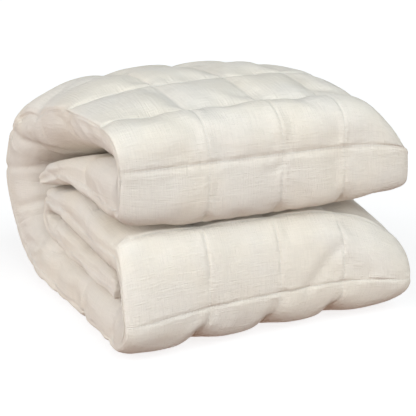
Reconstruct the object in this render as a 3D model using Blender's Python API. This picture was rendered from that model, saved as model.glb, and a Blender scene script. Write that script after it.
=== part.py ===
"""Folded weighted blanket: a thick quilted blanket, folded lengthwise into a
long pad and then back and forth into a pile of five layers.

The pad is one closed soft solid.  It runs, from one end to the other:
lower inner layer B - tight turn at the back - layer C - lower front fold -
bottom layer A - wide turn at the back - top layer E - upper front fold -
upper inner layer D.  The layers lie a little apart, and the quilted
pockets are raised between their sewn channels.

Metres, +Z up.  X runs across the pad, Y from the front folds (-Y) to the
wide back turn (+Y).  The origin is under the middle, on the floor.
"""
import math
from collections import namedtuple

import bmesh
import bpy
import numpy as np

# ---------------------------------------------------------------- sizes
POCKET = 0.100             # side of one square quilted pocket
HALF_WIDTH = 0.212         # two pockets and the hem, to each side
LAYER_GAP = 0.003          # space between two layers that face each other
END_ROUND = 0.030          # length over which a hem end closes
HEM_THICKNESS = 0.006      # thickness left at the two hem ends
SIDE_FULLNESS = 2.7        # how full the sides of the layers are
SIDE_DRAW = 0.007          # how far a cross channel draws in the side
FLOOR_PRESS = 0.004        # how far the lowest pockets are pressed flat
FOLD_BOW = 0.010           # how far the lower fold lies back at its middle
STEPS_PER_POCKET = 4       # mesh steps along the fold, per pocket
SIDE_COLUMNS = (1.0, 0.992, 0.968, 0.925, 0.86, 0.76, 0.62)   # of the half width

# Depth from the front of the pile, where each layer starts and stops.
FRONT_STRAIGHT = 0.056     # behind this the layers run straight
B_FRONT_END = 0.062        # hem end of layer B inside the lower fold
D_BACK_END = 0.285         # hem end of layer D inside the wide turn
INNER_TURN_START = 0.250   # where layers B and C start to turn
WIDE_TURN_START = 0.300    # where the bottom layer starts to rise
CROWN_TURN_END = 0.280     # where the wide turn has come to the top

# Heights of the spaces between the layers and of the top, at the middle.
LEVEL_NAMES = ("depth", "over_a", "over_b", "over_c", "over_d", "crown")
LEVELS = (
    (0.000, 0.060, 0.098, 0.145, 0.240, 0.288),
    (0.060, 0.066, 0.101, 0.155, 0.239, 0.297),
    (0.120, 0.069, 0.106, 0.164, 0.231, 0.306),
    (0.180, 0.068, 0.111, 0.171, 0.217, 0.311),
    (0.240, 0.072, 0.115, 0.162, 0.200, 0.310),
    (0.300, 0.085, 0.119, 0.148, 0.183, 0.300),
    (0.360, 0.098, 0.123, 0.145, 0.175, 0.285),
)

# How much higher or lower each face lies at the two sides of the pile.
Rise = namedtuple("Rise", "left_front left_back right_front right_back")
SIDE_RISE = {
    "over_a": Rise(0.000, 0.000, -0.012, 0.000),
    "over_b": Rise(0.000, 0.000, -0.034, 0.000),
    "top_c": Rise(0.014, 0.000, -0.068, -0.012),
    "under_d": Rise(0.016, 0.000, 0.024, 0.004),
    "over_d": Rise(0.002, 0.000, -0.022, 0.000),
    "crown": Rise(-0.010, -0.030, -0.061, -0.052),
}
RISE_DEPTH = 0.300         # depth at which the values for the back hold

# The four turns: tips of the outer and of the inner face, and how full the
# outer face is before and after its tip.
Turn = namedtuple("Turn", "outer_depth outer_height inner_depth full_before full_after")
TURNS = {
    "inner_turn": Turn(0.312, 0.117, 0.272, 2.4, 2.4),
    "lower_fold": Turn(-0.003, 0.070, 0.040, 2.6, 3.4),
    "wide_turn": Turn(0.466, 0.138, 0.330, 2.3, 2.2),
    "upper_fold": Turn(0.000, 0.238, 0.030, 2.6, 3.4),
}

# One row for each stretch of the pad, in order along it: the faces that it
# lies between, the depths it runs between, the half width that it adds left
# and right, the depth of its sewn channels, how square its sides are, and
# how far over from the inner to the outer face its side edges lie.
Stretch = namedtuple("Stretch", "name outer inner begin end left right channel_out channel_in"
                     " square_out square_in edge_left edge_right")
STRETCHES = (
    Stretch("layer_b", "over_a", "over_b", B_FRONT_END, INNER_TURN_START,
            -0.006, -0.012, 0.003, 0.003, 20.0, 20.0, 0.60, 0.5),
    Stretch("inner_turn", "", "", 0.0, 0.0,
            -0.006, -0.012, 0.003, 0.001, 9.0, 12.0, 0.50, 0.5),
    Stretch("layer_c", "top_c", "over_b", INNER_TURN_START, FRONT_STRAIGHT,
            -0.002, -0.008, 0.004, 0.003, 14.0, 20.0, 0.36, 0.5),
    Stretch("lower_fold", "", "", 0.0, 0.0,
            0.002, -0.007, 0.010, 0.002, 9.0, 14.0, 0.70, 0.6),
    Stretch("layer_a", "floor", "over_a", FRONT_STRAIGHT, WIDE_TURN_START,
            0.002, -0.008, 0.010, 0.003, 10.0, 20.0, 0.60, 0.5),
    Stretch("wide_turn", "", "", 0.0, 0.0,
            0.015, -0.026, 0.008, 0.003, 5.0, 9.0, 0.55, 0.5),
    Stretch("layer_e", "crown", "over_d", CROWN_TURN_END, FRONT_STRAIGHT,
            0.002, -0.025, 0.008, 0.003, 6.5, 14.0, 0.66, 0.5),
    Stretch("upper_fold", "", "", 0.0, 0.0,
            0.000, -0.016, 0.010, 0.001, 9.0, 12.0, 0.85, 0.7),
    Stretch("layer_d", "under_d", "over_d", FRONT_STRAIGHT, D_BACK_END,
            0.000, -0.010, 0.004, 0.003, 14.0, 20.0, 0.66, 0.5),
)


def table_height(level, depth):
    """Height of a named level at a depth, smooth between the rows."""
    column = LEVEL_NAMES.index(level)
    depths = [row[0] for row in LEVELS]
    values = [row[column] for row in LEVELS]
    depth = min(max(depth, depths[0]), depths[-1])
    k = 0
    while k < len(depths) - 2 and depth > depths[k + 1]:
        k += 1
    t = (depth - depths[k]) / (depths[k + 1] - depths[k])
    before = values[max(k - 1, 0)]
    after = values[min(k + 2, len(values) - 1)]
    m0 = 0.5 * (values[k + 1] - before)
    m1 = 0.5 * (after - values[k])
    return ((2 * t ** 3 - 3 * t ** 2 + 1) * values[k]
            + (t ** 3 - 2 * t ** 2 + t) * m0
            + (-2 * t ** 3 + 3 * t ** 2) * values[k + 1]
            + (t ** 3 - t ** 2) * m1)


def face_height(face, depth, across, side):
    """Height of a layer's face; across is -1 at the left side, +1 right."""
    if face == "floor":
        return -FLOOR_PRESS
    level = {"top_c": "over_c", "under_d": "over_c"}.get(face, face)
    value = table_height(level, depth)
    rise = SIDE_RISE[face]
    back = min(max(depth / RISE_DEPTH, 0.0), 1.0)
    if across < 0.0:
        value += (rise.left_front * (1.0 - back) + rise.left_back * back) * (-across) ** 3
    else:
        value += (rise.right_front * (1.0 - back) + rise.right_back * back) * across ** 3
    if face != "crown":
        value += side * 0.5 * LAYER_GAP
    return value


def arc(start, tip, end, t, full_before, full_after):
    """Point on a turn made of two soft quarter rounds that meet at its tip."""
    if t < 0.5:
        anchor = start
        angle = t * math.pi
        power = full_before
    else:
        anchor = end
        angle = (1.0 - t) * math.pi
        power = full_after
    reach = math.sin(angle) ** (2.0 / power)
    rise = 1.0 - math.cos(angle) ** (2.0 / power)
    depth = anchor[0] + (tip[0] - anchor[0]) * reach
    z = anchor[1] + (tip[1] - anchor[1]) * rise
    return (depth, z)


# Which way each face of a layer lies from the level beside it.
SIDES = {
    "layer_b": (1, -1),
    "layer_c": (-1, 1),
    "layer_a": (0, -1),
    "layer_e": (0, 1),
    "layer_d": (1, -1),
}


def straight_faces(stretch, depth, across):
    """Outer and inner point of a straight layer at one depth."""
    out_side, in_side = SIDES[stretch.name]
    outer = (depth, face_height(stretch.outer, depth, across, out_side))
    inner = (depth, face_height(stretch.inner, depth, across, in_side))
    return outer, inner


def fold_bow(name, across):
    """How far a front fold lies back of its line, from side to side."""
    if name == "lower_fold":
        return FOLD_BOW * (1.0 - across * across)
    return 0.0


def tip_drop(name, across):
    """How much the tip of a front fold droops towards its sides."""
    if name == "lower_fold":
        return -0.012 * across ** 4
    if name == "upper_fold":
        return -0.010 * max(across, 0.0) ** 3
    return 0.0


def faces(index, t, across):
    """Outer and inner point of stretch number index, at t from 0 to 1."""
    stretch = STRETCHES[index]
    name = stretch.name
    if name not in TURNS:
        depth = stretch.begin + (stretch.end - stretch.begin) * t
        return straight_faces(stretch, depth, across)
    turn = TURNS[name]
    before = STRETCHES[index - 1]
    after = STRETCHES[index + 1]
    start_out, start_in = straight_faces(before, before.end, across)
    end_out, end_in = straight_faces(after, after.begin, across)
    bow = fold_bow(name, across)
    outer_tip = (turn.outer_depth + bow, turn.outer_height + tip_drop(name, across))
    inner_tip = (turn.inner_depth + 0.5 * bow, 0.5 * (start_in[1] + end_in[1]))
    outer = arc(start_out, outer_tip, end_out, t, turn.full_before, turn.full_after)
    inner = arc(start_in, inner_tip, end_in, t, 2.0, 2.0)
    return outer, inner


def lay_out():
    """Trail of the outer face at the middle of the pad, and its running length."""
    trail = []
    for index in range(len(STRETCHES)):
        for k in range(60):
            trail.append((index, k / 60.0))
    trail.append((len(STRETCHES) - 1, 1.0))
    points = [faces(index, t, 0.0)[0] for index, t in trail]
    run = [0.0]
    for a, b in zip(points[:-1], points[1:]):
        run.append(run[-1] + math.hypot(b[0] - a[0], b[1] - a[1]))
    return trail, run


TRAIL, RUN = lay_out()
PAD_LENGTH = RUN[-1]


def station(distance):
    """Stretch number and place in it, at a distance along the pad."""
    distance = min(max(distance, 0.0), PAD_LENGTH)
    k = int(np.searchsorted(RUN, distance)) - 1
    k = min(max(k, 0), len(RUN) - 2)
    part = (distance - RUN[k]) / max(RUN[k + 1] - RUN[k], 1e-9)
    index, t0 = TRAIL[k]
    t1 = TRAIL[k + 1][1] if TRAIL[k + 1][0] == index else 1.0
    return index, t0 + (t1 - t0) * part


def eased(index, t, column):
    """A column of STRETCHES, eased into the next and the last stretch."""
    here = getattr(STRETCHES[index], column)
    if t < 0.5:
        other = getattr(STRETCHES[max(index - 1, 0)], column)
        mix = 0.5 - t
    else:
        other = getattr(STRETCHES[min(index + 1, len(STRETCHES) - 1)], column)
        mix = t - 0.5
    return here * (1.0 - mix) + other * mix


def seam_profile(pockets):
    """1 on a sewn channel, 0 in the middle of a pocket."""
    off = abs(pockets - round(pockets))
    return (1.0 - 2.0 * off) ** 2.2


def pad_point(distance, across, side, shift):
    """Point on the pad's skin: side is 1 on the outer face, -1 inside."""
    index, t = station(distance)
    outer, inner = faces(index, t, across)
    edge = eased(index, t, "edge_left" if across < 0.0 else "edge_right")
    over = 0.5 + (edge - 0.5) * across ** 4
    core = tuple(a * (1.0 - over) + b * over for a, b in zip(inner, outer))
    face = outer if side > 0 else inner
    reach = (face[0] - core[0], face[1] - core[1])
    length = math.hypot(*reach)
    channel = eased(index, t, "channel_out" if side > 0 else "channel_in")
    along = seam_profile((distance - shift) / POCKET)
    lengthwise = 0.0
    if abs(across) * HALF_WIDTH < 1.5 * POCKET:
        lengthwise = seam_profile(across * HALF_WIDTH / POCKET)
    sunk = channel * (1.0 - (1.0 - along) * (1.0 - lengthwise))
    square = eased(index, t, "square_out" if side > 0 else "square_in")
    rounding = (1.0 - abs(across) ** square) ** (1.0 / SIDE_FULLNESS)
    end = min(distance, PAD_LENGTH - distance) / END_ROUND
    if end < 1.0:
        closing = math.sqrt(max(1.0 - (1.0 - end) ** 2, 0.0))
        least = 0.5 * HEM_THICKNESS / length
        rounding *= least + (1.0 - least) * closing
    scale = max(length - sunk, 0.3 * length) / length * rounding
    depth = core[0] + reach[0] * scale
    z = core[1] + reach[1] * scale
    half = HALF_WIDTH + eased(index, t, "left" if across < 0.0 else "right") - SIDE_DRAW * along
    return (across * half, depth, max(z, 0.0))


def seam_shift():
    """Puts a cross channel on the tip of the upper fold."""
    for distance in np.linspace(PAD_LENGTH, 0.0, 4000):
        index, t = station(distance)
        if STRETCHES[index].name == "upper_fold" and t <= 0.49:
            return distance
    return 0.0


def columns():
    """Places across the pad, closer together at its sides."""
    inner = [part * POCKET / HALF_WIDTH for part in (1.0, 0.75, 0.5, 0.25)]
    left = [-value for value in list(SIDE_COLUMNS) + inner]
    return left + [0.0] + [-value for value in reversed(left)]


def places(shift):
    """Distances of the sections along the pad, four to a pocket."""
    step = POCKET / STEPS_PER_POCKET
    found = [0.0, END_ROUND * 0.12, END_ROUND * 0.45]
    place = shift % step
    while place < PAD_LENGTH - END_ROUND * 0.7:
        if place > END_ROUND * 0.7:
            found.append(place)
        place += step
    found += [PAD_LENGTH - END_ROUND * 0.45, PAD_LENGTH - END_ROUND * 0.12, PAD_LENGTH]
    return found


def build_pad():
    """The folded pad as one closed loft of sections along the fold."""
    shift = seam_shift()
    across_list = columns()
    mesh = bmesh.new()
    rings = []
    for distance in places(shift):
        outer = [mesh.verts.new(pad_point(distance, across, 1, shift))
                 for across in across_list]
        inner = [mesh.verts.new(pad_point(distance, across, -1, shift))
                 for across in across_list[1:-1]]
        rings.append(outer + list(reversed(inner)))
    size = len(rings[0])
    for a, b in zip(rings[:-1], rings[1:]):
        for k in range(size):
            m = (k + 1) % size
            mesh.faces.new((a[k], a[m], b[m], b[k]))
    for ring in (rings[0], rings[-1]):
        for k in range(len(across_list) - 1):
            corners = [ring[k], ring[k + 1]]
            for j in (k + 1, k):
                back = (size - j) % size
                if ring[back] not in corners:
                    corners.append(ring[back])
            mesh.faces.new(corners)
    bmesh.ops.recalc_face_normals(mesh, faces=mesh.faces)
    return mesh


def fabric_material():
    """Undyed woven cotton."""
    material = bpy.data.materials.new("cotton_cover")
    material.use_nodes = True
    shader = material.node_tree.nodes["Principled BSDF"]
    shader.inputs["Base Color"].default_value = (0.745, 0.690, 0.610, 1.0)
    shader.inputs["Roughness"].default_value = 0.9
    shader.inputs["Metallic"].default_value = 0.0
    return material


def main():
    for old in list(bpy.data.objects):
        bpy.data.objects.remove(old, do_unlink=True)
    pad = build_pad()
    low = [min(vert.co[axis] for vert in pad.verts) for axis in range(3)]
    high = [max(vert.co[axis] for vert in pad.verts) for axis in range(3)]
    for vert in pad.verts:
        vert.co.x -= 0.5 * (low[0] + high[0])
        vert.co.y -= 0.5 * (low[1] + high[1])
        vert.co.z -= low[2]
    data = bpy.data.meshes.new("blanket")
    pad.to_mesh(data)
    pad.free()
    data.materials.append(fabric_material())
    data.shade_smooth()
    group = bpy.data.collections.new("weighted_blanket")
    bpy.context.scene.collection.children.link(group)
    group.objects.link(bpy.data.objects.new("blanket", data))


main()
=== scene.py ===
"""Folded weighted blanket: quilted cotton cover, sewing, camera and soft light.

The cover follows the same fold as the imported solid, on a finer mesh.  Cloth
simulation fills the pockets, the creases and the sewing come after it.
Metres, +Z up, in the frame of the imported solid.
"""

import math
from collections import namedtuple

import bmesh
import bpy
import numpy as np
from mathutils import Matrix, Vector, noise
from mathutils.bvhtree import BVHTree


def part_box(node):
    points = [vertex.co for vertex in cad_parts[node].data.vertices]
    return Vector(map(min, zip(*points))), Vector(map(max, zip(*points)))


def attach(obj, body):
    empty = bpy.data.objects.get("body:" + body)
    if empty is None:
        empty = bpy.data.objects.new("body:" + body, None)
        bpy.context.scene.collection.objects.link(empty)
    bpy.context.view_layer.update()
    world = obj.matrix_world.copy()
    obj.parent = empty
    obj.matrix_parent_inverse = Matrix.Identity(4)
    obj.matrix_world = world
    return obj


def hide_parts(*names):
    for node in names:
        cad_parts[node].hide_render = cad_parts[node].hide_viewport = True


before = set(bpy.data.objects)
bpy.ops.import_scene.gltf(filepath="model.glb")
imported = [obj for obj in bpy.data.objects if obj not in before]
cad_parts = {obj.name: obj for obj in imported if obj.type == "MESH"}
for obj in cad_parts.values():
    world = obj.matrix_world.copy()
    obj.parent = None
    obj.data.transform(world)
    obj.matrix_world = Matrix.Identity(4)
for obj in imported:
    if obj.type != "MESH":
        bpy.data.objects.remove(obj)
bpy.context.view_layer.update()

# ------------------------------ the fold
POCKET = 0.100             # side of one square quilted pocket
CROSS_PITCH = 0.0984       # between two cross seams; sewing draws the cloth in
HALF_WIDTH = 0.212         # two pockets and the hem, to each side
LAYER_GAP = 0.003          # space between two layers that face each other
END_ROUND = 0.022          # length over which a hem end closes
HEM_THICKNESS = 0.006      # thickness left at the two hem ends
SIDE_FULLNESS = 2.7        # how full the sides of the layers are
SIDE_DRAW = 0.003          # how far a cross channel draws in the side
SIDE_POWER = 3.0           # how late the sides of a layer rise or droop
CROWN_POWER = 7.0          # the same for the right front corner of the top
FLOOR_PRESS = 0.004        # how far the lowest pockets are pressed flat
FOLD_BOW = 0.010           # how far the lower fold lies back at its middle

# Depth from the front of the pile, where each layer starts and stops.
FRONT_STRAIGHT = 0.056     # behind this the layers run straight
MOUTH_STRAIGHT = 0.030     # and behind this where the two front folds meet
B_FRONT_END = 0.042        # hem end of layer B inside the lower fold
D_BACK_END = 0.285         # hem end of layer D inside the wide turn
INNER_TURN_START = 0.250   # where layers B and C start to turn
WIDE_TURN_START = 0.300    # where the bottom layer starts to rise
CROWN_TURN_END = 0.280     # where the wide turn has come to the top

# Heights of the spaces between the layers and of the top, at the middle.
LEVEL_NAMES = ("depth", "over_a", "over_b", "over_c", "over_d", "crown")
LEVELS = (
    (0.000, 0.060, 0.098, 0.154, 0.240, 0.288),
    (0.060, 0.066, 0.101, 0.157, 0.239, 0.297),
    (0.120, 0.069, 0.106, 0.164, 0.231, 0.306),
    (0.180, 0.068, 0.111, 0.171, 0.217, 0.311),
    (0.240, 0.072, 0.115, 0.162, 0.200, 0.310),
    (0.300, 0.085, 0.119, 0.148, 0.183, 0.300),
    (0.360, 0.098, 0.123, 0.145, 0.175, 0.285),
)

# Sewn channels.
CHANNEL_POWER = 3.0        # how narrow they are
TIP_CHANNEL = 0.12         # share of its depth that a channel has on a fold's tip
SIDE_CHANNEL_LOSS = 0.75   # share of it that a cross channel loses at the sides
SIDE_CHANNEL_SPAN = (0.70, 0.95)   # places across between which it does
FRONT_LOSS = 0.85          # what a lengthwise line loses on the front of a fold
EDGE_GAIN = 0.35           # and gains on the fold's lower edge
LEAST_SHARE = 0.3          # of a layer's half thickness is left in every channel
LAST_LINE = 1.5            # no lengthwise line lies farther out, in pockets

# How much higher or lower each face lies at the two sides of the pile.
Rise = namedtuple("Rise", "left_front left_back right_front right_back")
SIDE_RISE = {
    "over_a": Rise(0.000, 0.000, -0.012, 0.000),
    "over_b": Rise(0.000, 0.000, -0.034, 0.000),
    "top_c": Rise(0.010, 0.000, -0.068, -0.012),
    "under_d": Rise(0.016, 0.000, 0.010, 0.004),
    "over_d": Rise(0.002, 0.000, -0.054, -0.006),
    "crown": Rise(-0.003, -0.036, -0.092, -0.046),
}
RISE_DEPTH = 0.300         # depth at which the values for the back hold

# The four turns: tips of the outer and of the inner face, and how full the
# outer face is before and after its tip.
Turn = namedtuple("Turn", "outer_depth outer_height inner_depth full_before full_after")
TURNS = {
    "inner_turn": Turn(0.312, 0.117, 0.272, 2.4, 2.4),
    "lower_fold": Turn(-0.012, 0.048, 0.022, 2.1, 1.8),
    "wide_turn": Turn(0.470, 0.123, 0.330, 1.85, 1.85),
    "upper_fold": Turn(0.000, 0.238, 0.027, 2.6, 4.0),
}

# One row for each stretch of the pad, in order along it: the faces that it
# lies between, the depths it runs between, the half width that it adds left
# and right, the depth of its sewn channels, how square its sides are, how far
# over from the inner to the outer face its side edges lie, and how full its
# left side is.
Stretch = namedtuple("Stretch", "name outer inner begin end left right channel_out channel_in"
                     " square_out square_in edge_left edge_right full_left")
STRETCHES = (
    Stretch("layer_b", "over_a", "over_b", B_FRONT_END, INNER_TURN_START,
            -0.006, -0.012, 0.003, 0.003, 20.0, 20.0, 0.60, 0.5, 4.0),
    Stretch("inner_turn", "", "", 0.0, 0.0,
            -0.006, -0.012, 0.003, 0.001, 9.0, 12.0, 0.50, 0.5, 3.5),
    Stretch("layer_c", "top_c", "over_b", INNER_TURN_START, MOUTH_STRAIGHT,
            -0.002, -0.008, 0.004, 0.003, 11.0, 20.0, 0.36, 0.5, 3.2),
    Stretch("lower_fold", "", "", 0.0, 0.0,
            0.002, -0.012, 0.009, 0.002, 6.5, 14.0, 0.70, 0.6, 2.2),
    Stretch("layer_a", "floor", "over_a", FRONT_STRAIGHT, WIDE_TURN_START,
            -0.007, -0.010, 0.008, 0.003, 10.0, 20.0, 0.68, 0.5, 3.4),
    Stretch("wide_turn", "", "", 0.0, 0.0,
            0.001, -0.024, 0.005, 0.003, 8.9, 8.0, 0.66, 0.5, 2.7),
    Stretch("layer_e", "crown", "over_d", CROWN_TURN_END, FRONT_STRAIGHT,
            0.002, -0.014, 0.003, 0.003, 8.8, 6.5, 0.86, 0.5, 3.0),
    Stretch("upper_fold", "", "", 0.0, 0.0,
            0.000, -0.020, 0.010, 0.001, 7.5, 10.0, 0.80, 0.7, 2.6),
    Stretch("layer_d", "under_d", "over_d", MOUTH_STRAIGHT, D_BACK_END,
            0.000, -0.010, 0.004, 0.003, 14.0, 20.0, 0.66, 0.5, 4.0),
)

# The sewn line on the lower fold hangs below the fold's tip, most at its ends.
LOWER_SEAM_SAG = 0.004
LOWER_SEAM_END_SAG = 0.003
SEAM_SAG_REACH = 0.045
SEAM_STEP = 0.001          # a fold lifts its right part by this
SEAM_STEP_SPAN = (0.23, 0.31)      # places across between which it does
INNER_SAG_SPAN = (0.6, 1.0)        # and where the inner face comes to hang as far

# Where along each front fold its lower edge starts, is full, fades and stops.
LOWER_EDGE = {
    "lower_fold": (0.52, 0.76, 0.86, 1.00),
    "upper_fold": (0.66, 0.84, 0.94, 1.00),
}
FRONT_FACE = (0.05, 0.35, 0.52, 0.70)      # and the front of both
NOTCH_SLANT = 0.009        # the lines on the lower fold's lower edge slant to the left
LOWER_TIP_DROOP = 0.012    # the lower fold's tip droops by this at its two sides
UPPER_TIP_DROOP = 0.010    # and the upper fold's at its right side

# ------------------------------ fine mesh
IN_POCKET = (0.0, 0.03, 0.09, 0.17, 0.27, 0.38, 0.50, 0.62, 0.73, 0.83, 0.91, 0.97)
SIDE_ANGLES = (90.0, 86.0, 79.0, 70.0, 60.0, 50.0, 40.0, 30.0)   # round the pad's side
SIDE_SQUARE = 9.0          # squareness for which those angles are even
LAST_COLUMN = 1.66         # farthest even column out, in pockets
HEM_ROW = 0.012            # distance of the hem's stitches from the end of the pad
END_ROWS = (0.0, 0.04 * END_ROUND, 0.20 * END_ROUND, HEM_ROW, 0.80 * END_ROUND)
END_CLEAR = 0.9 * END_ROUND        # no other row is nearer to an end
TRAIL_STEPS = 60           # points on each stretch of the trail
SEARCH_STEPS = 4000        # places that are tried for the upper seam
FRONT_POCKETS = 12         # from the lower front seam to the upper one

# ------------------------------ filling
PRESSURE = 4.0             # of the cloth simulation
EASE = 0.03                # extra cloth in each pocket, which puckers
FRAMES = 20
PUFF_LIMIT = 0.0036        # farthest that a point may move
SIDE_PUFF_LIMIT = 0.0020   # the same, round the pad's sides
FRONT_CALM = 0.70          # the front folds swell less than the rest, by this share
SEWN_HALF = 0.172          # the cross seams hold the cloth this far from the middle
FREE_ROOM = 0.030          # beyond this nothing is near a point
TIGHT_ROOM = 0.006         # cloth with less room than this is held still
ROOM_SHARE = 0.35          # share of the free room that a point may use
RAY_START = 0.0004         # off the cloth, where its room is measured from
FACES_DOWN = -0.05         # normals below this look at the floor
PINNED_HALF = 0.001        # half width of the pinned cloth on a seam
LUMP_HEIGHT = 0.0028       # unevenness of the filling
LUMP_SIZE = 0.085
LUMP_LAYER = 0.7
FACES_APART = 3.0          # makes the lumps of the two faces unlike

# ------------------------------ sewing
SEAM_DEPTH = 0.0014        # a sewn line lies this deep in the cloth
SEAM_WIDTH = 0.0018
LENGTHWISE_SHARE = 0.40    # the lengthwise lines are sewn less tightly
TOP_SHARE = 0.50           # and so are the cross seams on the top
TOP_SPAN = (0.400, 0.040)  # which lies between these distances behind the upper seam
TOP_FADE = 0.030
END_FADE = (0.180, 0.198)  # the cross seams fade out between these distances
FRONT_REACH = 0.060        # the lengthwise lines are faint this near a front fold
SIDE_SEAM_DEPTH = 0.0012
SIDE_SEAM_WIDTH = 0.0005
END_LOSS = 0.85            # share of their depth that the cross seams lose at the ends
PUCKER_HEIGHT = 0.0009
PUCKER_AWAY = 0.0066       # from the sewn line, and its half width
PUCKER_SIZE = 0.012
PUCKER_STRETCH = 0.25
LENGTHWISE_PUCKERS = 0.8   # height of those along the lengthwise lines, as a share
CROSS_LAYER = 3.1          # layers of the noise that the puckers are cut from
LENGTHWISE_LAYER = 5.3
STITCH_PITCH = 0.0042
STITCH_LENGTH = 0.0030
STITCH_THICKNESS = 0.0005
STITCH_LENGTHS = (0.85, 1.1)       # shortest and longest, as shares of that length
STITCH_FACES = (6, 4)      # round a stitch and along it
STITCH_LIFT = 0.00015      # middle of a stitch above the cloth
STITCH_SEED = 11
SEAM_MARGIN = 0.006        # a cross seam's stitches stop this far from the side
LOWEST_STITCH = 0.002      # none is laid nearer to the floor
CHAIN_GAP = 0.020          # points farther apart than this aren't joined
OPEN_ROOM = 0.010          # a seam with less room than this is out of sight
ON_LINE = 1e-4             # a point this near a sewn line is on it
ON_SIDE = 1e-5             # and on the side seam
ON_FACE = 0.5              # side coordinate from which creases take a point as outside
WELL_ON_FACE = 0.9         # and from which stitches do

# ------------------------------ creases
# Soft folds on the left end of the pile: depth, width, and the line that each
# follows as depth from the front and height.  A depth below zero is a ridge.
Crease = namedtuple("Crease", "sink width line")
END_CREASES = (
    Crease(0.0030, 0.0050, ((0.425, 0.212), (0.398, 0.211), (0.349, 0.205), (0.300, 0.205),
                            (0.235, 0.210))),
    Crease(-0.0030, 0.0110, ((0.392, 0.186), (0.330, 0.187), (0.290, 0.192))),
    Crease(0.0030, 0.0050, ((0.444, 0.146), (0.380, 0.158), (0.333, 0.168), (0.268, 0.182))),
    Crease(0.0045, 0.0060, ((0.287, 0.142), (0.317, 0.128), (0.350, 0.112), (0.385, 0.098))),
    Crease(0.0040, 0.0050, ((0.286, 0.142), (0.306, 0.146), (0.325, 0.152))),
    Crease(0.0035, 0.0050, ((0.286, 0.142), (0.300, 0.124), (0.306, 0.104))),
    Crease(0.0040, 0.0060, ((0.352, 0.236), (0.335, 0.243), (0.312, 0.250), (0.287, 0.253))),
    Crease(-0.0030, 0.0100, ((0.372, 0.226), (0.345, 0.222), (0.318, 0.228))),
    Crease(0.0028, 0.0040, ((0.262, 0.184), (0.226, 0.176), (0.195, 0.179))),
    Crease(0.0032, 0.0050, ((0.330, 0.040), (0.316, 0.044), (0.284, 0.060), (0.222, 0.076))),
    Crease(0.0040, 0.0070, ((0.372, 0.040), (0.352, 0.056), (0.324, 0.056))),
    Crease(0.0035, 0.0060, ((0.160, 0.006), (0.150, 0.022), (0.138, 0.034))),
    Crease(0.0035, 0.0060, ((0.070, 0.006), (0.060, 0.020), (0.046, 0.032))),
    Crease(0.0030, 0.0060, ((0.038, 0.121), (0.030, 0.110), (0.020, 0.098))),
    Crease(0.0025, 0.0050, ((0.034, 0.050), (0.020, 0.056), (0.008, 0.070))),
    Crease(0.0022, 0.0060, ((0.092, 0.207), (0.076, 0.194), (0.060, 0.186))),
    Crease(0.0020, 0.0050, ((0.074, 0.212), (0.058, 0.200), (0.044, 0.190))),
    Crease(0.0022, 0.0060, ((0.196, 0.268), (0.160, 0.262), (0.140, 0.250))),
    Crease(0.0022, 0.0070, ((0.150, 0.274), (0.120, 0.262), (0.098, 0.246))),
    Crease(0.0020, 0.0060, ((0.104, 0.276), (0.080, 0.262), (0.060, 0.248))),
    Crease(0.0025, 0.0060, ((0.268, 0.126), (0.240, 0.122), (0.222, 0.126))),
)
END_REACH = (0.150, 0.185)  # the end creases fade in between these distances left
RIM_SHARE = 0.3            # height of the soft rim beside an end crease
RIM_WIDTH = 2.6            # and its width, as shares of the crease's own

# Soft folds on the outer face: the line that each follows as distance past the
# lower front seam and place across.
FACE_CREASES = (
    Crease(0.0030, 0.0080, ((0.002, 0.044), (-0.014, 0.056), (-0.032, 0.074), (-0.046, 0.092))),
    Crease(0.0026, 0.0090, ((0.004, -0.098), (0.022, -0.102), (0.044, -0.112))),
    Crease(0.0026, 0.0090, ((0.004, 0.002), (0.022, -0.004), (0.044, -0.014))),
    Crease(0.0026, 0.0090, ((0.004, 0.100), (0.022, 0.094), (0.044, 0.086))),
    Crease(0.0022, 0.0100, ((-0.060, -0.060), (-0.078, -0.044), (-0.084, -0.010))),
    Crease(0.0020, 0.0120, ((-0.078, 0.020), (-0.086, 0.070), (-0.080, 0.120))),
)


def table_height(level, depth):
    """Height of a named level at a depth, smooth between the rows."""
    column = LEVEL_NAMES.index(level)
    depths = [row[0] for row in LEVELS]
    values = [row[column] for row in LEVELS]
    depth = min(max(depth, depths[0]), depths[-1])
    k = 0
    while k < len(depths) - 2 and depth > depths[k + 1]:
        k += 1
    t = (depth - depths[k]) / (depths[k + 1] - depths[k])
    before = values[max(k - 1, 0)]
    after = values[min(k + 2, len(values) - 1)]
    m0 = 0.5 * (values[k + 1] - before)
    m1 = 0.5 * (after - values[k])
    return ((2 * t ** 3 - 3 * t ** 2 + 1) * values[k]
            + (t ** 3 - 2 * t ** 2 + t) * m0
            + (-2 * t ** 3 + 3 * t ** 2) * values[k + 1]
            + (t ** 3 - t ** 2) * m1)


def face_height(face, depth, across, side):
    """Height of a layer's face; across is -1 at the left side, +1 right."""
    if face == "floor":
        return -FLOOR_PRESS
    level = {"top_c": "over_c", "under_d": "over_c"}.get(face, face)
    value = table_height(level, depth)
    rise = SIDE_RISE[face]
    back = min(max(depth / RISE_DEPTH, 0.0), 1.0)
    if across < 0.0:
        value += (rise.left_front * (1.0 - back) + rise.left_back * back) * (-across) ** SIDE_POWER
    else:
        power = CROWN_POWER if face == "crown" else SIDE_POWER
        value += rise.right_front * (1.0 - back) * across ** power
        value += rise.right_back * back * across ** SIDE_POWER
    if face != "crown":
        value += side * 0.5 * LAYER_GAP
    return value


def arc(start, tip, end, t, full_before, full_after):
    """Point on a turn made of two soft quarter rounds that meet at its tip."""
    anchor, power = (start, full_before) if t < 0.5 else (end, full_after)
    angle = min(t, 1.0 - t) * math.pi
    reach = math.sin(angle) ** (2.0 / power)
    rise = 1.0 - math.cos(angle) ** (2.0 / power)
    return (anchor[0] + (tip[0] - anchor[0]) * reach, anchor[1] + (tip[1] - anchor[1]) * rise)


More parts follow.
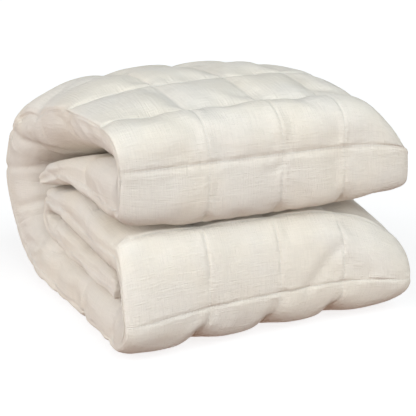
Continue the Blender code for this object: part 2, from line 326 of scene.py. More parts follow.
# Which way each face of a layer lies from the level beside it.
SIDES = {
    "layer_b": (1, -1),
    "layer_c": (-1, 1),
    "layer_a": (0, -1),
    "layer_e": (0, 1),
    "layer_d": (1, -1),
}


def straight_faces(stretch, depth, across):
    """Outer and inner point of a straight layer at one depth."""
    return [(depth, face_height(face, depth, across, side))
            for face, side in zip((stretch.outer, stretch.inner), SIDES[stretch.name])]


def fold_bow(name, across):
    """How far a front fold lies back of its line, from side to side."""
    if name == "lower_fold":
        return FOLD_BOW * (1.0 - across * across)
    return 0.0


def tip_drop(name, across):
    """How much the tip of a front fold droops towards its sides."""
    if name == "lower_fold":
        return -LOWER_TIP_DROOP * across ** 4
    if name == "upper_fold":
        return -UPPER_TIP_DROOP * max(across, 0.0) ** 3
    return 0.0


def faces(index, t, across):
    """Outer and inner point of stretch number index, at t from 0 to 1."""
    stretch = STRETCHES[index]
    name = stretch.name
    if name not in TURNS:
        depth = stretch.begin + (stretch.end - stretch.begin) * t
        return straight_faces(stretch, depth, across)
    turn = TURNS[name]
    before = STRETCHES[index - 1]
    after = STRETCHES[index + 1]
    start_out, start_in = straight_faces(before, before.end, across)
    end_out, end_in = straight_faces(after, after.begin, across)
    bow = fold_bow(name, across)
    outer_tip = (turn.outer_depth + bow, turn.outer_height + tip_drop(name, across))
    inner_tip = (turn.inner_depth + 0.5 * bow, 0.5 * (start_in[1] + end_in[1]))
    outer = arc(start_out, outer_tip, end_out, t, turn.full_before, turn.full_after)
    inner = arc(start_in, inner_tip, end_in, t, 2.0, 2.0)
    return outer, inner


def lay_out():
    """Trail of the outer face at the middle of the pad, and its running length."""
    trail = [(index, k / TRAIL_STEPS) for index in range(len(STRETCHES))
             for k in range(TRAIL_STEPS)]
    trail.append((len(STRETCHES) - 1, 1.0))
    points = [faces(index, t, 0.0)[0] for index, t in trail]
    run = [0.0]
    for a, b in zip(points[:-1], points[1:]):
        run.append(run[-1] + math.hypot(b[0] - a[0], b[1] - a[1]))
    return trail, run


TRAIL, RUN = lay_out()
PAD_LENGTH = RUN[-1]


def station(distance):
    """Stretch number and place in it, at a distance along the pad."""
    distance = min(max(distance, 0.0), PAD_LENGTH)
    k = int(np.searchsorted(RUN, distance)) - 1
    k = min(max(k, 0), len(RUN) - 2)
    part = (distance - RUN[k]) / max(RUN[k + 1] - RUN[k], 1e-9)
    index, t0 = TRAIL[k]
    t1 = TRAIL[k + 1][1] if TRAIL[k + 1][0] == index else 1.0
    return index, t0 + (t1 - t0) * part


def eased(index, t, column):
    """A column of STRETCHES, eased into the stretches before and after."""
    beside = max(index - 1, 0) if t < 0.5 else min(index + 1, len(STRETCHES) - 1)
    here, other = (getattr(STRETCHES[k], column) for k in (index, beside))
    mix = abs(t - 0.5)
    return here * (1.0 - mix) + other * mix


def seam_profile(pockets):
    """1 on a sewn channel, 0 in the middle of a pocket."""
    off = abs(pockets - round(pockets))
    return (1.0 - 2.0 * off) ** CHANNEL_POWER


def seam_shift():
    """Puts a cross channel on the tip of the upper fold."""
    for distance in np.linspace(PAD_LENGTH, 0.0, SEARCH_STEPS):
        index, t = station(distance)
        if STRETCHES[index].name == "upper_fold" and t <= 0.5:
            return distance
    return 0.0


SHIFT = seam_shift()
LOWER_SEAM = SHIFT - FRONT_POCKETS * CROSS_PITCH


def smooth(value, low, high):
    """0 below low, 1 above high, soft between them."""
    part = min(max((value - low) / (high - low), 0.0), 1.0)
    return part * part * (3.0 - 2.0 * part)


def span(value, starts, full, fades, stops):
    """1 inside a span, 0 outside it, soft between them."""
    return smooth(value, starts, full) * (1.0 - smooth(value, fades, stops))


def sag(place, across):
    """How far past its even place a line across the pad lies."""
    off = (place - LOWER_SEAM) / SEAM_SAG_REACH
    depth = LOWER_SEAM_SAG + LOWER_SEAM_END_SAG * across ** 4
    depth -= SEAM_STEP * smooth(across, *SEAM_STEP_SPAN)
    return depth * math.exp(-off * off)


def below_tip(name, t):
    """1 on the lower edge of a front fold, 0 elsewhere."""
    return span(t, *LOWER_EDGE[name]) if name in LOWER_EDGE else 0.0


def front_face(name, t):
    """1 on the front of a front fold, above its lower edge."""
    return span(t, *FRONT_FACE) if name in LOWER_EDGE else 0.0


def pad_point(place, across, side):
    """Point on the pad's skin: side is 1 on the outer face, -1 inside."""
    share = 1.0 if side > 0 else smooth(abs(across), *INNER_SAG_SPAN)
    distance = place + share * sag(place, across)
    index, t = station(distance)
    name = STRETCHES[index].name
    outer, inner = faces(index, t, across)
    edge = eased(index, t, "edge_left" if across < 0.0 else "edge_right")
    over = 0.5 + (edge - 0.5) * across ** 4
    core = tuple(a * (1.0 - over) + b * over for a, b in zip(inner, outer))
    face = outer if side > 0 else inner
    reach = (face[0] - core[0], face[1] - core[1])
    length = math.hypot(*reach)
    channel = eased(index, t, "channel_out" if side > 0 else "channel_in")
    if name in LOWER_EDGE:
        channel *= TIP_CHANNEL + (1.0 - TIP_CHANNEL) * below_tip(name, t)
    inside = 1.0 - SIDE_CHANNEL_LOSS * smooth(abs(across), *SIDE_CHANNEL_SPAN)
    along = seam_profile((place - SHIFT) / CROSS_PITCH) * inside
    lengthwise = 0.0
    if abs(across) * HALF_WIDTH < LAST_LINE * POCKET:
        lengthwise = seam_profile(across * HALF_WIDTH / POCKET)
        lengthwise *= 1.0 - FRONT_LOSS * front_face(name, t) + EDGE_GAIN * below_tip(name, t)
    sunk = channel * (1.0 - (1.0 - along) * (1.0 - lengthwise))
    square = eased(index, t, "square_out" if side > 0 else "square_in")
    fullness = eased(index, t, "full_left") if across < 0.0 else SIDE_FULLNESS
    rounding = (1.0 - abs(across) ** square) ** (1.0 / fullness)
    end = min(distance, PAD_LENGTH - distance) / END_ROUND
    if end < 1.0:
        closing = math.sqrt(max(1.0 - (1.0 - end) ** 2, 0.0))
        least = 0.5 * HEM_THICKNESS / length
        rounding *= least + (1.0 - least) * closing
    scale = max(length - sunk, LEAST_SHARE * length) / length * rounding
    depth = core[0] + reach[0] * scale
    z = core[1] + reach[1] * scale
    half = HALF_WIDTH + eased(index, t, "left" if across < 0.0 else "right") - SIDE_DRAW * along
    slant = NOTCH_SLANT if name == "lower_fold" else 0.0
    x = across * half - slant * below_tip(name, t) * (1.0 - across ** 4)
    return (x, depth, max(z, 0.0))


# ------------------------------ the pad
def fine_columns():
    """Places across the pad, close together at its seams and round its sides."""
    half = []
    for pocket in range(2):
        for part in IN_POCKET:
            x = (pocket + part) * POCKET
            if x < LAST_COLUMN * POCKET:
                half.append(x / HALF_WIDTH)
    for angle in reversed(SIDE_ANGLES):
        reach = math.cos(math.radians(angle))
        half.append((1.0 - max(reach, 0.0) ** SIDE_FULLNESS) ** (1.0 / SIDE_SQUARE))
    half[-1] = 1.0
    return [-value for value in reversed(half[1:])] + half


def fine_places():
    """Distances of the sections along the pad, close together at its seams."""
    found = list(END_ROWS)
    first = (SHIFT % CROSS_PITCH) - CROSS_PITCH
    pocket = 0
    while first + pocket * CROSS_PITCH < PAD_LENGTH:
        for part in IN_POCKET:
            place = first + (pocket + part) * CROSS_PITCH
            if END_CLEAR < place < PAD_LENGTH - END_CLEAR:
                found.append(place)
        pocket += 1
    return found + [PAD_LENGTH - place for place in reversed(END_ROWS)]


def girth_of(ring, middle):
    """Distance round the pad of each point of a section, from its outer middle."""
    size = len(ring)
    girth = [0.0] * (size + 1)
    for k in range(middle + 1, size + 1):
        girth[k] = girth[k - 1] + (ring[k % size].co - ring[k - 1].co).length
    for k in range(middle - 1, -1, -1):
        girth[k] = girth[k + 1] - (ring[k].co - ring[k + 1].co).length
    return girth


def close_hem(mesh, weave, ring, count, place):
    """Closes a hem end with one row of faces."""
    size = len(ring)
    for k in range(count - 1):
        corners = [ring[k], ring[k + 1]]
        for j in (k + 1, k):
            back = (size - j) % size
            if ring[back] not in corners:
                corners.append(ring[back])
        for loop in mesh.faces.new(corners).loops:
            loop[weave].uv = (loop.vert.co.x, place + loop.vert.co.z)


def move_over_solid(mesh):
    """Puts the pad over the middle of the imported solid, and gives the move."""
    points = np.array([vert.co for vert in mesh.verts])
    low, high = points.min(axis=0), points.max(axis=0)
    box_low, box_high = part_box("blanket")
    move = Vector((0.5 * (box_low.x + box_high.x - low[0] - high[0]),
                   0.5 * (box_low.y + box_high.y - low[1] - high[1]), 0.0))
    bmesh.ops.translate(mesh, verts=mesh.verts, vec=move)
    return move


def build_pad():
    """The folded cover as one closed loft, with its weave and seam coordinates."""
    across_list = fine_columns()
    count = len(across_list)
    size = 2 * count - 2
    places = fine_places()
    mesh = bmesh.new()
    pad_at = mesh.verts.layers.float_vector.new("pad_at")
    weave = mesh.loops.layers.uv.new("weave")
    rings = []
    girths = []
    for distance in places:
        ring = []
        for k in range(size):
            outside = k < count
            across = across_list[k] if outside else across_list[size - k]
            side = 1 if outside else -1
            vert = mesh.verts.new(pad_point(distance, across, side))
            vert[pad_at] = (distance, across * HALF_WIDTH, side if abs(across) < 1.0 else 0.0)
            ring.append(vert)
        rings.append(ring)
        girths.append(girth_of(ring, count // 2))
    inner_middle = size - count // 2
    for row in range(len(rings) - 1):
        a, b = rings[row], rings[row + 1]
        for k in range(size):
            m = (k + 1) % size
            face = mesh.faces.new((a[k], a[m], b[m], b[k]))
            corners = ((row, k), (row, k + 1), (row + 1, k + 1), (row + 1, k))
            for loop, (line, place) in zip(face.loops, corners):
                around = girths[line][place]
                if k >= inner_middle:
                    around += girths[line][0] - girths[line][size]
                loop[weave].uv = (around, places[line])
    for end in (0, -1):
        close_hem(mesh, weave, rings[end], count, places[end])
    bmesh.ops.recalc_face_normals(mesh, faces=mesh.faces)
    return mesh, move_over_solid(mesh)


def vectors(items, name):
    """One vector of each item, as an array."""
    values = np.zeros(len(items) * 3)
    items.foreach_get(name, values)
    return values.reshape(-1, 3)


def places_of(data):
    """The points of a mesh."""
    return vectors(data.vertices, "co")


def normals_of(data):
    """The normals of a mesh's points."""
    return vectors(data.vertices, "normal")


def pad_coordinates(data):
    """Distance along, place across and side of each point of the cover."""
    return vectors(data.attributes["pad_at"].data, "vector")


def put_points(data, points):
    """Moves the points of a mesh, none of them below the floor."""
    points[:, 2] = np.maximum(points[:, 2], 0.0)
    data.vertices.foreach_set("co", points.astype(np.float32).ravel())
    data.update()


def as_mesh(mesh, name):
    """The mesh that was being built, as data for an object."""
    data = bpy.data.meshes.new(name)
    mesh.to_mesh(data)
    mesh.free()
    return data


def put_object(name, data):
    """A new object in the scene."""
    made = bpy.data.objects.new(name, data)
    bpy.context.scene.collection.objects.link(made)
    return made


def settle(thing, modifier, keep_layers):
    """Makes what a modifier does to an object its plain mesh, and removes the modifier."""
    graph = bpy.context.evaluated_depsgraph_get()
    made = bpy.data.meshes.new_from_object(thing.evaluated_get(graph), depsgraph=graph,
                                           preserve_all_data_layers=keep_layers)
    old = thing.data
    thing.modifiers.remove(modifier)
    thing.data = made
    bpy.data.meshes.remove(old)


# ------------------------------ filling it
def cloth_tree(data):
    """The faces of the cover, ready for asking what a ray meets."""
    return BVHTree.FromPolygons([v.co for v in data.vertices],
                                [p.vertices[:] for p in data.polygons])


def free_room(data):
    """How far each point of the cover can move outwards before it meets cloth or floor."""
    tree = cloth_tree(data)
    room = np.full(len(data.vertices), FREE_ROOM)
    for vert in data.vertices:
        hit = tree.ray_cast(vert.co + vert.normal * RAY_START, vert.normal, FREE_ROOM)
        if hit[0] is not None:
            room[vert.index] = hit[3]
        if vert.normal.z < FACES_DOWN:
            room[vert.index] = min(room[vert.index], -vert.co.z / vert.normal.z)
    return room


def spread_low(values, data, rounds):
    """Each value drops to the lowest of its neighbours, then is averaged with them."""
    ends = np.zeros(len(data.edges) * 2, dtype=np.int64)
    data.edges.foreach_get("vertices", ends)
    a, b = ends.reshape(-1, 2).T
    out = values.copy()
    for _ in range(rounds):
        low = out.copy()
        np.minimum.at(low, a, out[b])
        np.minimum.at(low, b, out[a])
        out = low
    for _ in range(rounds + 1):
        total = out.copy()
        number = np.ones(len(out))
        for here, there in ((a, b), (b, a)):
            np.add.at(total, here, out[there])
            np.add.at(number, here, 1.0)
        out = total / number
    return out


def waves(first, second, size, layer):
    """Smooth noise from -1 to 1 at places on the cloth, one value for each."""
    return np.array([noise.noise(Vector((a / size, b / size, layer)))
                     for a, b in zip(first, second)])


def ramp(values, low, high):
    """0 below low, 1 above high, straight between them."""
    return np.clip((values - low) / (high - low), 0.0, 1.0)


def fall(away, width):
    """1 on a line, soft to 0 away from it."""
    return np.exp(-(away / width) ** 2)


def make_uneven(data, room):
    """Lumps of filling, where there is room for them."""
    pad = pad_coordinates(data)
    lumps = waves(pad[:, 0] + FACES_APART * pad[:, 2], pad[:, 1], LUMP_SIZE, LUMP_LAYER)
    lumps *= LUMP_HEIGHT * ramp(room, 0.0, FREE_ROOM)
    put_points(data, places_of(data) + normals_of(data) * lumps[:, None])


def near_seam(pad):
    """Distance of each point from the nearest cross and lengthwise seam."""
    cross = (pad[:, 0] - SHIFT) / CROSS_PITCH
    cross = np.abs(cross - np.round(cross)) * CROSS_PITCH
    lengthwise = pad[:, 1] / POCKET
    whole = np.round(lengthwise)
    lengthwise = np.abs(lengthwise - whole) * POCKET
    lengthwise[np.abs(whole) > LAST_LINE] = 1.0
    return cross, lengthwise


def on_front_folds(pad):
    """1 at the tips of the two front folds, soft to 0 away from them."""
    return fall(pad[:, 0] - SHIFT, FRONT_REACH) + fall(pad[:, 0] - LOWER_SEAM, FRONT_REACH)


def on_top(pad):
    """1 on the top of the pile, soft to 0 beyond its two ends."""
    behind = SHIFT - pad[:, 0]
    inside = np.minimum(TOP_SPAN[0] - behind, behind - TOP_SPAN[1])
    return ramp(inside, 0.0, TOP_FADE) * (pad[:, 2] > 0.0)


def run_cloth(cover):
    """Runs the cloth simulation and gives where it brings each point."""
    cloth = cover.modifiers.new("filling", "CLOTH")
    settings = cloth.settings
    settings.quality = 5
    settings.mass = 0.3
    settings.tension_stiffness = 20.0
    settings.compression_stiffness = 12.0
    settings.shear_stiffness = 6.0
    settings.bending_stiffness = 0.6
    settings.shrink_min = -EASE
    settings.vertex_group_mass = "held"
    settings.use_pressure = True
    settings.uniform_pressure_force = PRESSURE
    settings.effector_weights.gravity = 0.0
    cloth.collision_settings.use_collision = False
    cloth.point_cache.frame_start = 1
    cloth.point_cache.frame_end = FRAMES
    scene = bpy.context.scene
    for number in range(1, FRAMES + 1):
        scene.frame_set(number)
    shown = cover.evaluated_get(bpy.context.evaluated_depsgraph_get())
    after = places_of(shown.data)
    cover.modifiers.remove(cloth)
    scene.frame_set(1)
    return after


def fill_with_cloth(cover, room):
    """The pockets swell between their sewn lines, as far as there is room."""
    data = cover.data
    before = places_of(data)
    pad = pad_coordinates(data)
    cross, lengthwise = near_seam(pad)
    across = np.abs(pad[:, 1])
    sewn = ((cross < PINNED_HALF) & (across < SEWN_HALF)) | (lengthwise < PINNED_HALF)
    held = cover.vertex_groups.new(name="held")
    still = np.nonzero(sewn | (room < TIGHT_ROOM))[0]
    held.add([int(k) for k in still], 1.0, "REPLACE")
    move = run_cloth(cover) - before
    cover.vertex_groups.clear()
    length = np.linalg.norm(move, axis=1)
    at_side = ramp(across, SEWN_HALF, HALF_WIDTH)
    limit = PUFF_LIMIT + (SIDE_PUFF_LIMIT - PUFF_LIMIT) * at_side
    limit *= 1.0 - FRONT_CALM * on_front_folds(pad)
    limit = np.minimum(limit, ROOM_SHARE * spread_low(room, data, 1))
    move *= (limit / np.maximum(np.maximum(length, limit), 1e-9))[:, None]
    put_points(data, before + move)


def subdivide(cover):
    """One level of subdivision, applied."""
    rounder = cover.modifiers.new("rounder", "SUBSURF")
    rounder.levels = 1
    rounder.render_levels = 1
    settle(cover, rounder, True)


# ------------------------------ sewing it
def off_line(first, second, line):
    """Distance of flat points from a line through some places."""
    best = np.full(len(first), 1.0)
    for (a0, a1), (b0, b1) in zip(line[:-1], line[1:]):
        run0, run1 = b0 - a0, b1 - a1
        part = ((first - a0) * run0 + (second - a1) * run1) / (run0 * run0 + run1 * run1)
        part = np.clip(part, 0.0, 1.0)
        away = np.hypot(first - a0 - part * run0, second - a1 - part * run1)
        best = np.minimum(best, away)
    return best


def puckers_by(away, along, over, layer):
    """Small puckers on both sides of a sewn line."""
    beside = fall(away - PUCKER_AWAY, PUCKER_AWAY)
    return beside * waves(along, over * PUCKER_STRETCH, PUCKER_SIZE, layer)


def sink_seams(cover, move, room):
    """Draws the cloth in along its sewn lines and folds, with small puckers beside them."""
    data = cover.data
    points = places_of(data)
    pad = pad_coordinates(data)
    from_middle = np.abs(pad[:, 1])
    inner = pad[:, 2] < 0.0
    cross, lengthwise = near_seam(pad)
    on_front = on_front_folds(pad)
    cross_share = 1.0 - END_LOSS * ramp(from_middle, *END_FADE)
    cross_share *= 1.0 - (1.0 - TOP_SHARE) * on_top(pad)
    long_share = LENGTHWISE_SHARE * (1.0 - FRONT_LOSS * on_front)
    sunk = SEAM_DEPTH * np.maximum(cross_share * fall(cross, SEAM_WIDTH),
                                   long_share * fall(lengthwise, SEAM_WIDTH))
    hem = np.minimum(np.abs(pad[:, 0] - HEM_ROW), np.abs(PAD_LENGTH - HEM_ROW - pad[:, 0]))
    for away, width in ((from_middle - HALF_WIDTH, SIDE_SEAM_WIDTH), (hem, SEAM_WIDTH)):
        sunk = np.maximum(sunk, SIDE_SEAM_DEPTH * fall(away, width))
    puckers = puckers_by(cross, pad[:, 1], pad[:, 0], CROSS_LAYER)
    puckers += LENGTHWISE_PUCKERS * puckers_by(lengthwise, pad[:, 0], pad[:, 1], LENGTHWISE_LAYER)
    sunk -= PUCKER_HEIGHT * puckers * ramp(room, 0.0, FREE_ROOM)
    sunk[inner] *= 1.0 - np.minimum(on_front, 1.0)[inner]
    at_left = ramp(-points[:, 0], *END_REACH)
    depth = points[:, 1] - move.y
    for crease in END_CREASES:
        away = off_line(depth, points[:, 2], crease.line)
        rim = RIM_SHARE * fall(away, RIM_WIDTH * crease.width)
        sunk += at_left * crease.sink * (fall(away, crease.width) - rim)
    past = pad[:, 0] - LOWER_SEAM
    for crease in FACE_CREASES:
        away = off_line(past, pad[:, 1], crease.line)
        sunk += (pad[:, 2] > ON_FACE) * crease.sink * fall(away, crease.width)
    put_points(data, points - normals_of(data) * sunk[:, None])


def seam_chains(pad):
    """The points that lie on each sewn line, and the coordinate that runs along it."""
    cross = near_seam(pad)[0]
    outside = pad[:, 2] > WELL_ON_FACE
    inside = pad[:, 2] < -WELL_ON_FACE
    within = np.abs(pad[:, 1]) < HALF_WIDTH - SEAM_MARGIN
    number = np.round((pad[:, 0] - SHIFT) / CROSS_PITCH).astype(int)
    chains = []
    for seam in np.unique(number):
        chains.append((outside & within & (number == seam) & (cross < ON_LINE), 1))
    for line in (-1, 0, 1):
        chains.append((outside & (np.abs(pad[:, 1] - line * POCKET) < ON_LINE), 0))
    for side in (-1.0, 1.0):
        chains.append((np.abs(pad[:, 1] - side * HALF_WIDTH) < ON_SIDE, 0))
    for row in (HEM_ROW, PAD_LENGTH - HEM_ROW):
        for face in (outside, inside):
            chains.append((face & within & (np.abs(pad[:, 0] - row) < ON_LINE), 1))
    return chains


def seam_paths(cover):
    """The sewn lines that are in sight, as chains of points just above the cloth."""
    data = cover.data
    points = places_of(data)
    normals = normals_of(data)
    pad = pad_coordinates(data)
    tree = cloth_tree(data)
    mesh = bmesh.new()
    for chosen, order in seam_chains(pad):
        found = np.nonzero(chosen)[0]
        last = None
        for k in found[np.argsort(pad[found, order])]:
            point, normal = Vector(points[k]), Vector(normals[k])
            start = point + normal * RAY_START
            hit = tree.ray_cast(start, normal, OPEN_ROOM)
            if hit[0] is not None or start.z < LOWEST_STITCH:
                last = None
                continue
            vert = mesh.verts.new(point + normal * STITCH_LIFT)
            if last is not None and (vert.co - last.co).length < CHAIN_GAP:
                mesh.edges.new((last, vert))
            last = vert
    lone = [vert for vert in mesh.verts if not vert.link_edges]
    bmesh.ops.delete(mesh, geom=lone, context="VERTS")
    return mesh


def feed(tree, fed, inputs):
    """Links or sets the inputs of a node, each by its name or number."""
    for key, value in inputs.items():
        if isinstance(value, bpy.types.NodeSocket):
            tree.links.new(value, fed.inputs[key])
        else:
            fed.inputs[key].default_value = value


def node(tree, kind, label, inputs=None, **values):
    """A node with its properties set and its inputs fed."""
    made = tree.nodes.new(kind)
    made.label = label
    for key, value in values.items():
        setattr(made, key, value)
    feed(tree, made, inputs or {})
    return made


def calc(tree, operation, *values, clamp=False):
    """A Math node; gives its result."""
    return node(tree, "ShaderNodeMath", operation.lower(), dict(enumerate(values)),
                operation=operation, use_clamp=clamp).outputs[0]


def sewing_tree():
    """Geometry Nodes that lay one stitch after another along sewn lines."""
    tree = bpy.data.node_groups.new("sewing", "GeometryNodeTree")
    for name, kind in (("Lines", "Geometry"), ("Stitch pitch", "Float"), ("Stitch length", "Float"),
                       ("Stitch thickness", "Float"), ("Seed", "Int"), ("Thread", "Material")):
        tree.interface.new_socket(name, in_out="INPUT", socket_type="NodeSocket" + kind)
    tree.interface.new_socket("Stitches", in_out="OUTPUT", socket_type="NodeSocketGeometry")
    given = node(tree, "NodeGroupInput", "lines and sizes").outputs
    curve = node(tree, "GeometryNodeMeshToCurve", "sewn lines", {"Mesh": given["Lines"]})
    even = node(tree, "GeometryNodeResampleCurve", "even steps",
                {"Curve": curve.outputs["Curve"], "Length": given["Stitch pitch"]}, mode="LENGTH")
    stitch = node(tree, "GeometryNodeMeshUVSphere", "one stitch",
                  {"Segments": STITCH_FACES[0], "Rings": STITCH_FACES[1], "Radius": 0.5})
    uneven = node(tree, "FunctionNodeRandomValue", "uneven lengths",
                  {"Min": STITCH_LENGTHS[0], "Max": STITCH_LENGTHS[1], "Seed": given["Seed"]},
                  data_type="FLOAT")
    length = calc(tree, "MULTIPLY", given["Stitch length"], uneven.outputs[1])
    size = node(tree, "ShaderNodeCombineXYZ", "size of a stitch",
                {"X": given["Stitch thickness"], "Y": given["Stitch thickness"], "Z": length})
    tangent = node(tree, "GeometryNodeInputTangent", "way of the line")
    turn = node(tree, "FunctionNodeAlignRotationToVector", "along the line",
                {"Vector": tangent.outputs[0]}, axis="Z")
    place = node(tree, "GeometryNodeInstanceOnPoints", "lay the stitches",
                 {"Points": even.outputs["Curve"], "Instance": stitch.outputs["Mesh"],
                  "Rotation": turn.outputs[0], "Scale": size.outputs[0]})
    real = node(tree, "GeometryNodeRealizeInstances", "plain faces",
                {"Geometry": place.outputs["Instances"]})
    thread = node(tree, "GeometryNodeSetMaterial", "cotton thread",
                  {"Geometry": real.outputs["Geometry"], "Material": given["Thread"]})
    node(tree, "NodeGroupOutput", "stitches", {"Stitches": thread.outputs["Geometry"]})
    return tree


def make_stitches(cover, thread):
    """The stitches along the sewn lines, as one plain mesh."""
    stitches = put_object("stitches", as_mesh(seam_paths(cover), "sewn_lines"))
    sewing = stitches.modifiers.new("sewing", "NODES")
    sewing.node_group = sewing_tree()
    values = {"Stitch pitch": STITCH_PITCH, "Stitch length": STITCH_LENGTH,
              "Stitch thickness": STITCH_THICKNESS, "Seed": STITCH_SEED, "Thread": thread}
    for item in sewing.node_group.interface.items_tree:
        if item.in_out == "INPUT" and item.name in values:
            sewing[item.identifier] = values[item.name]
    settle(stitches, sewing, False)
    stitches.data.shade_smooth()
    return stitches


# ------------------------------ materials
IVORY = (0.79, 0.73, 0.65)
THREAD_IVORY = (0.80, 0.775, 0.72)
WARMER = (1.0, 0.985, 0.95)        # the ivory is multiplied by this in places
THREAD_PITCH = 0.0010      # between two threads of the weave
THREAD_WANDER = 0.0007     # how far a thread strays from its line
WANDER_SCALE = 60.0        # how often it does, in a metre
SLUB_SIZE = (0.0017, 0.026)        # width and length
GATHER_SIZE = (1.0 / 190.0, 1.0 / 36.0)    # 190 side by side in a metre
WEAVE_RELIEF = 0.00022
SLUB_RELIEF = 0.00045
GATHER_SHARE = 2.2         # height of the gathers for that of the slubs
CROSSING = 4.0             # how sharply one thread passes over another
SLUB_SPAN = (0.34, 0.66)   # values of the noise where a slub starts and is full
WARM_SPAN = (0.35, 0.65)   # and where a warmer place does
STREAK_LAYERS = {"thick warp": 2.0, "thick weft": 7.0, "gathers": 4.0, "ruffles": 9.0}
# Painted shade: the sewn lines are darkened along their grooves; the next lines say where that
# starts and is full, and how much of it the lengthwise lines get.
ON_SEAM = (0.014, 0.004)   # where a line's tone starts and is full, in pockets
BY_CROSS_SEAM = (0.16, 0.02)       # and the same for the gathers beside it
BY_LONG_SEAM = (0.14, 0.02)
SHADE_ON_LENGTHWISE = 0.2            # tone of a lengthwise line for that of a cross seam

# Tone of the cloth between its threads, and what is added to it on a thread, on a slub,
# where it is bleached more, and on a sewn line, where it is painted shade.
PLAIN_TONE = 0.92
THREAD_TONE = 0.05
SLUB_TONE = 0.055
BLEACH_TONE = 0.05
# painted shade: darkens the cloth along the sewn lines
SEAM_SHADE_TONE = -0.08
BLEACH_SCALE = 11.0
ROUGHNESS = 0.92
SLUB_SHINE = -0.08         # is added to it on a slub

# The sewing thread: how fine its plies are, its tone between them, and what is
# added to that on one.
PLY_SCALE = 900.0
PLY_TONES = (0.92, 0.10)


def soft_step(tree, value, low, high, label):
    """0 at low, 1 at high, soft between them."""
    return node(tree, "ShaderNodeMapRange", label,
                {"Value": value, "From Min": low, "From Max": high},
                interpolation_type="SMOOTHSTEP").outputs["Result"]


def streaks(tree, first, second, size, label):
    """Noise in streaks of a width and length, drawn out along the second direction."""
    where = node(tree, "ShaderNodeCombineXYZ", label,
                 {0: calc(tree, "DIVIDE", first, size[0]),
                  1: calc(tree, "DIVIDE", second, size[1]), 2: STREAK_LAYERS[label]})
    return node(tree, "ShaderNodeTexNoise", label,
                {"Vector": where.outputs[0], "Scale": 1.0, "Detail": 2.0}).outputs[0]


def weave(tree):
    """Height of a plain weave from its threads, and its slubs, both 0 to 1."""
    at = node(tree, "ShaderNodeUVMap", "weave", uv_map="weave").outputs[0]
    wander = node(tree, "ShaderNodeTexNoise", "threads stray", {"Vector": at, "Scale": WANDER_SCALE})
    stray = node(tree, "ShaderNodeSeparateColor", "stray", {0: wander.outputs["Color"]}).outputs
    flat = node(tree, "ShaderNodeSeparateXYZ", "place", {0: at}).outputs
    round_pad = calc(tree, "MULTIPLY_ADD", stray[0], THREAD_WANDER, flat[0])
    along_pad = calc(tree, "MULTIPLY_ADD", stray[1], THREAD_WANDER, flat[1])
    warp = calc(tree, "SINE", calc(tree, "MULTIPLY", round_pad, math.pi / THREAD_PITCH))
    weft = calc(tree, "SINE", calc(tree, "MULTIPLY", along_pad, math.pi / THREAD_PITCH))
    above = calc(tree, "MULTIPLY_ADD", calc(tree, "MULTIPLY", warp, weft), CROSSING, 0.5,
                 clamp=True)
    warp = calc(tree, "ABSOLUTE", warp)
    weft = calc(tree, "ABSOLUTE", weft)
    height = calc(tree, "MULTIPLY_ADD", above, calc(tree, "SUBTRACT", warp, weft), weft)
    thick_warp = streaks(tree, round_pad, along_pad, SLUB_SIZE, "thick warp")
    thick_weft = streaks(tree, along_pad, round_pad, SLUB_SIZE, "thick weft")
    slubs = calc(tree, "MULTIPLY", calc(tree, "ADD", thick_warp, thick_weft), 0.5)
    return height, soft_step(tree, slubs, *SLUB_SPAN, "slubs")


def by_seams(tree):
    """1 on a sewn line, where the cloth is darkened as painted shade, and the fine gathers on both
    sides of it.
    """
    at = node(tree, "ShaderNodeAttribute", "place on the pad", attribute_name="pad_at")
    parts = node(tree, "ShaderNodeSeparateXYZ", "place on the pad", {0: at.outputs["Vector"]})
    place, across = parts.outputs[0], parts.outputs[1]
    from_middle = calc(tree, "ABSOLUTE", across)
    phase = calc(tree, "DIVIDE", calc(tree, "SUBTRACT", place, SHIFT), CROSS_PITCH)
    off_cross = calc(tree, "PINGPONG", phase, 0.5)
    off_long = calc(tree, "PINGPONG", calc(tree, "DIVIDE", across, POCKET), 0.5)
    beyond = calc(tree, "GREATER_THAN", from_middle, LAST_LINE * POCKET)
    off_long = calc(tree, "ADD", off_long, beyond)
    # painted shade along the sewn lines: full on the cross seams, fading out at the ends, and
    # fainter on the lengthwise lines
    cross_seam_shade = soft_step(tree, off_cross, *ON_SEAM, "on a cross seam")
    long_seam_shade = soft_step(tree, off_long, *ON_SEAM, "on a lengthwise seam")
    inward = soft_step(tree, from_middle, END_FADE[1], END_FADE[0], "not at an end")
    line = calc(tree, "MAXIMUM", calc(tree, "MULTIPLY", cross_seam_shade, inward),
                calc(tree, "MULTIPLY", long_seam_shade, SHADE_ON_LENGTHWISE))
    near_cross = soft_step(tree, off_cross, *BY_CROSS_SEAM, "beside a cross seam")
    near_long = soft_step(tree, off_long, *BY_LONG_SEAM, "beside a lengthwise seam")
    gathers = streaks(tree, across, place, GATHER_SIZE, "gathers")
    ruffles = streaks(tree, place, across, GATHER_SIZE, "ruffles")
    fine = calc(tree, "ADD", calc(tree, "MULTIPLY", near_cross, gathers),
                calc(tree, "MULTIPLY", near_long, ruffles))
    return line, fine


def new_material(name):
    """A material, its node tree and its shader."""
    material = bpy.data.materials.new(name)
    material.use_nodes = True
    tree = material.node_tree
    return material, tree, tree.nodes["Principled BSDF"]


